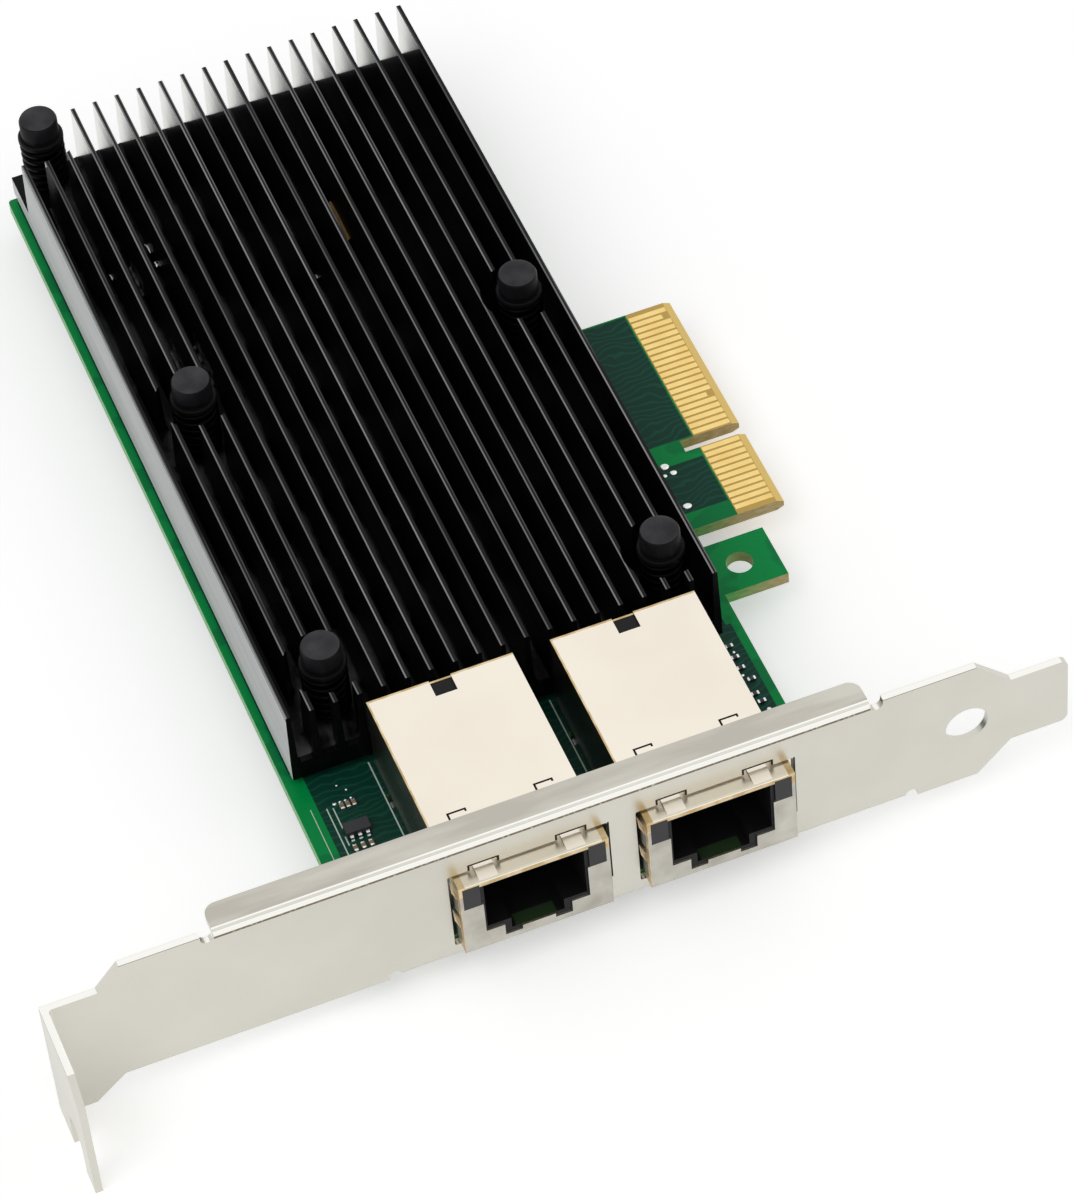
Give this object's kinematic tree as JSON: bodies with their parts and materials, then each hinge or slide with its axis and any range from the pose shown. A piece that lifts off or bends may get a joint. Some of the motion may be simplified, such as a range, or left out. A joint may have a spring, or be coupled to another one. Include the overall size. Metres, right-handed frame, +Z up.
{
  "type": "network interface card",
  "caption": "Low-height slot card with shielded modular network sockets in a folded steel bracket, an edge connector and a long black finned heatsink held by spring pins.",
  "frame": {"origin": "middle of the card's box in X and Y, at its lowest point, the end of the bracket's tab", "axes": "+X along the bracket from the screw tab to the tongue, +Y along the board away from the bracket, +Z up from the component side"},
  "size_m": [0.12, 0.1422, 0.0217],
  "materials": {
    "board": "green solder mask over glass laminate, glossy",
    "contact_gold": "hard gold plate, polished",
    "bracket_steel": "nickel-plated sheet steel, satin",
    "screw_steel": "nickel-plated steel, bright",
    "jack_metal": "nickel-plated brass sheet, bright satin",
    "jack_plastic": "black glass-filled plastic, matt",
    "light_window": "smoked clear plastic, glossy",
    "solder_tin": "tinned wire, satin",
    "heatsink_black": "extruded aluminium, black anodised, satin",
    "pin_plastic": "black moulded plastic, satin",
    "spring_black": "black-coated spring steel, satin",
    "chip_body": "moulded epoxy, matt",
    "pad_grey": "filled silicone, matt",
    "inductor_grey": "pressed iron powder, matt",
    "capacitor_tan": "ceramic with tinned ends, satin",
    "resistor_black": "glazed ceramic with tinned ends, satin",
    "crystal_metal": "nickel-plated lid, satin"
  },
  "bodies": {
    "root": {"circuit_board": "board", "edge_contacts_top": "contact_gold", "edge_contacts_bottom": "contact_gold", "slot_bracket": "bracket_steel", "bracket_screws": "screw_steel", "left_jack_shield": "jack_metal", "left_jack_housing": "jack_plastic", "left_jack_magnetics": "jack_plastic", "left_jack_lights": "light_window", "left_jack_wires": "contact_gold", "left_jack_pins": "solder_tin", "right_jack_shield": "jack_metal", "right_jack_housing": "jack_plastic", "right_jack_magnetics": "jack_plastic", "right_jack_lights": "light_window", "right_jack_wires": "contact_gold", "right_jack_pins": "solder_tin", "heatsink": "heatsink_black", "push_pins": "pin_plastic", "push_pin_springs": "spring_black", "controller_chip": "chip_body", "thermal_pad": "pad_grey", "power_inductors": "inductor_grey", "power_regulators": "chip_body", "power_capacitors": "capacitor_tan", "clock_crystal": "crystal_metal", "driver_chip": "chip_body", "driver_leads": "solder_tin", "signal_capacitors": "capacitor_tan", "signal_resistors": "resistor_black", "memory_chips": "chip_body", "decoupling_capacitors": "capacitor_tan", "coupling_capacitors": "capacitor_tan"}
  },
  "joints": []
}
